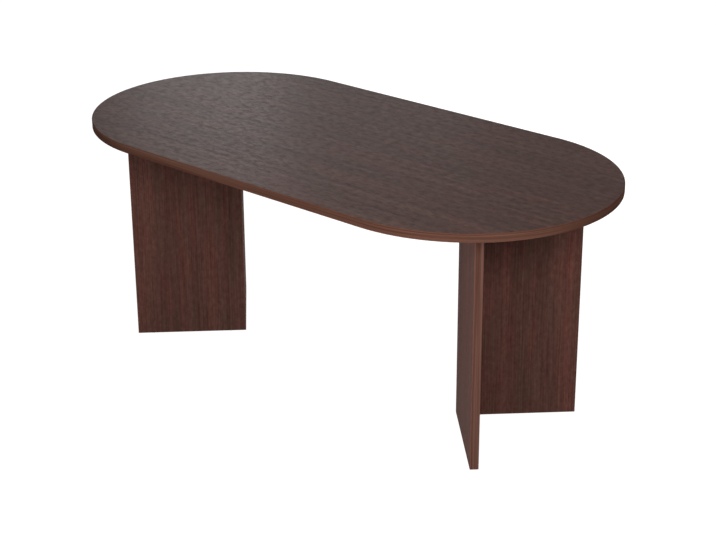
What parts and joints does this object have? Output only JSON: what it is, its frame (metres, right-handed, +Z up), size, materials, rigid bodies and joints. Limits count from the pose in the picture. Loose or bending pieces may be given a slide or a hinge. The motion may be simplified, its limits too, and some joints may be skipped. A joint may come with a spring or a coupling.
{
  "type": "dining table",
  "caption": "Racetrack dining or meeting table: laminated top with half-round ends on two V-shaped panel legs that open towards the ends, with screw glides underneath.",
  "frame": {"origin": "on the floor, under the middle of the top", "axes": "+X along the top's length, towards the leg whose far panel (on the +Y side) runs through to the corner; +Y across the top; +Z up"},
  "size_m": [1.8026, 0.889, 0.749],
  "materials": {
    "top_laminate": "satin dark walnut laminate",
    "leg_laminate": "satin dark walnut laminate",
    "edge_band": "satin wood-grain edge band",
    "chipboard": "raw chipboard",
    "beech": "raw beech",
    "steel": "zinc plated",
    "zinc": "die cast and turned, plain",
    "cap_plastic": "matt brown",
    "nylon": "matt black"
  },
  "bodies": {
    "table": {"top_core": "chipboard", "top_laminate": "top_laminate", "top_backer": "leg_laminate", "top_edge_band": "edge_band", "right_long_core": "chipboard", "right_long_skins": "leg_laminate", "right_long_bands": "edge_band", "right_short_core": "chipboard", "right_short_skins": "leg_laminate", "right_short_bands": "edge_band", "left_long_core": "chipboard", "left_long_skins": "leg_laminate", "left_long_bands": "edge_band", "left_short_core": "chipboard", "left_short_skins": "leg_laminate", "left_short_bands": "edge_band", "corner_dowels": "beech", "cam_bolts": "zinc", "cam_locks": "zinc", "cam_caps": "cap_plastic", "brackets": "steel", "bracket_screws": "steel", "top_screws": "steel", "top_inserts": "zinc", "glide_inserts": "zinc"},
    "right_long_pad_tip": {"right_long_pad_tip": "nylon"},
    "right_long_stem_tip": {"right_long_stem_tip": "steel"},
    "right_long_pad_root": {"right_long_pad_root": "nylon"},
    "right_long_stem_root": {"right_long_stem_root": "steel"},
    "right_short_pad_tip": {"right_short_pad_tip": "nylon"},
    "right_short_stem_tip": {"right_short_stem_tip": "steel"},
    "right_short_pad_root": {"right_short_pad_root": "nylon"},
    "right_short_stem_root": {"right_short_stem_root": "steel"},
    "left_long_pad_tip": {"left_long_pad_tip": "nylon"},
    "left_long_stem_tip": {"left_long_stem_tip": "steel"},
    "left_long_pad_root": {"left_long_pad_root": "nylon"},
    "left_long_stem_root": {"left_long_stem_root": "steel"},
    "left_short_pad_tip": {"left_short_pad_tip": "nylon"},
    "left_short_stem_tip": {"left_short_stem_tip": "steel"},
    "left_short_pad_root": {"left_short_pad_root": "nylon"},
    "left_short_stem_root": {"left_short_stem_root": "steel"}
  },
  "joints": [
    {"name": "right_long_tip_lift", "type": "slide", "parent": "table", "child": "right_long_pad_tip", "axis": [0, 0, -1], "range_m": [0, 0.01]},
    {"name": "right_long_tip_turn", "type": "hinge", "parent": "right_long_pad_tip", "child": "right_long_stem_tip", "pos_m": [0.66289, 0.20471, 0], "axis": [0, 0, -1], "range_deg": [0, 3600]},
    {"name": "right_long_root_lift", "type": "slide", "parent": "table", "child": "right_long_pad_root", "axis": [0, 0, -1], "range_m": [0, 0.01]},
    {"name": "right_long_root_turn", "type": "hinge", "parent": "right_long_pad_root", "child": "right_long_stem_root", "pos_m": [0.48469, 0.02652, 0], "axis": [0, 0, -1], "range_deg": [0, 3600]},
    {"name": "right_short_tip_lift", "type": "slide", "parent": "table", "child": "right_short_pad_tip", "axis": [0, 0, -1], "range_m": [0, 0.01]},
    {"name": "right_short_tip_turn", "type": "hinge", "parent": "right_short_pad_tip", "child": "right_short_stem_tip", "pos_m": [0.66289, -0.20471, 0], "axis": [0, 0, -1], "range_deg": [0, 3600]},
    {"name": "right_short_root_lift", "type": "slide", "parent": "table", "child": "right_short_pad_root", "axis": [0, 0, -1], "range_m": [0, 0.01]},
    {"name": "right_short_root_turn", "type": "hinge", "parent": "right_short_pad_root", "child": "right_short_stem_root", "pos_m": [0.50237, -0.04419, 0], "axis": [0, 0, -1], "range_deg": [0, 3600]},
    {"name": "left_long_tip_lift", "type": "slide", "parent": "table", "child": "left_long_pad_tip", "axis": [0, 0, -1], "range_m": [0, 0.01]},
    {"name": "left_long_tip_turn", "type": "hinge", "parent": "left_long_pad_tip", "child": "left_long_stem_tip", "pos_m": [-0.66289, -0.20471, 0], "axis": [0, 0, -1], "range_deg": [0, 3600]},
    {"name": "left_long_root_lift", "type": "slide", "parent": "table", "child": "left_long_pad_root", "axis": [0, 0, -1], "range_m": [0, 0.01]},
    {"name": "left_long_root_turn", "type": "hinge", "parent": "left_long_pad_root", "child": "left_long_stem_root", "pos_m": [-0.48469, -0.02652, 0], "axis": [0, 0, -1], "range_deg": [0, 3600]},
    {"name": "left_short_tip_lift", "type": "slide", "parent": "table", "child": "left_short_pad_tip", "axis": [0, 0, -1], "range_m": [0, 0.01]},
    {"name": "left_short_tip_turn", "type": "hinge", "parent": "left_short_pad_tip", "child": "left_short_stem_tip", "pos_m": [-0.66289, 0.20471, 0], "axis": [0, 0, -1], "range_deg": [0, 3600]},
    {"name": "left_short_root_lift", "type": "slide", "parent": "table", "child": "left_short_pad_root", "axis": [0, 0, -1], "range_m": [0, 0.01]},
    {"name": "left_short_root_turn", "type": "hinge", "parent": "left_short_pad_root", "child": "left_short_stem_root", "pos_m": [-0.50237, 0.04419, 0], "axis": [0, 0, -1], "range_deg": [0, 3600]}
  ],
  "couplings": [
    {"joint": "right_long_tip_turn", "follows": "right_long_tip_lift", "rad_per_m": 6283.2},
    {"joint": "right_long_root_turn", "follows": "right_long_root_lift", "rad_per_m": 6283.2},
    {"joint": "right_short_tip_turn", "follows": "right_short_tip_lift", "rad_per_m": 6283.2},
    {"joint": "right_short_root_turn", "follows": "right_short_root_lift", "rad_per_m": 6283.2},
    {"joint": "left_long_tip_turn", "follows": "left_long_tip_lift", "rad_per_m": 6283.2},
    {"joint": "left_long_root_turn", "follows": "left_long_root_lift", "rad_per_m": 6283.2},
    {"joint": "left_short_tip_turn", "follows": "left_short_tip_lift", "rad_per_m": 6283.2},
    {"joint": "left_short_root_turn", "follows": "left_short_root_lift", "rad_per_m": 6283.2}
  ]
}
